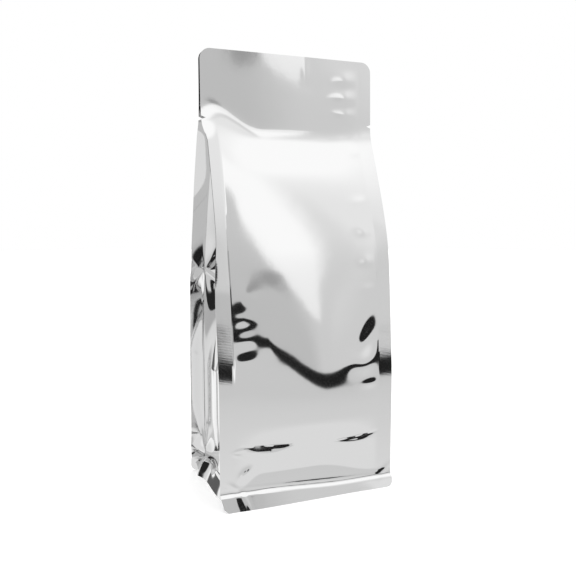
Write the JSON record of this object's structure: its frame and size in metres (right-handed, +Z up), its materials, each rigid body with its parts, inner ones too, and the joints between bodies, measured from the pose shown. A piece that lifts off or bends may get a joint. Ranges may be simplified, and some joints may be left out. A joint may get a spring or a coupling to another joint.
{
  "type": "flat bottom bag",
  "caption": "Filled, closed flat bottom food pouch of bright foil laminate with sealed fins, side gussets, hems and a flat top band.",
  "frame": {"origin": "on the floor, at the middle of the bag's footprint", "axes": "+Z up along the height, +X to the right along the front panel, -Y out of the front panel"},
  "size_m": [0.14, 0.101, 0.333],
  "materials": {
    "foil": "mirror-bright metallised laminate film, unprinted, with a fine knurl in its heat seals"
  },
  "bodies": {
    "root": {"bag": "foil"}
  },
  "joints": []
}
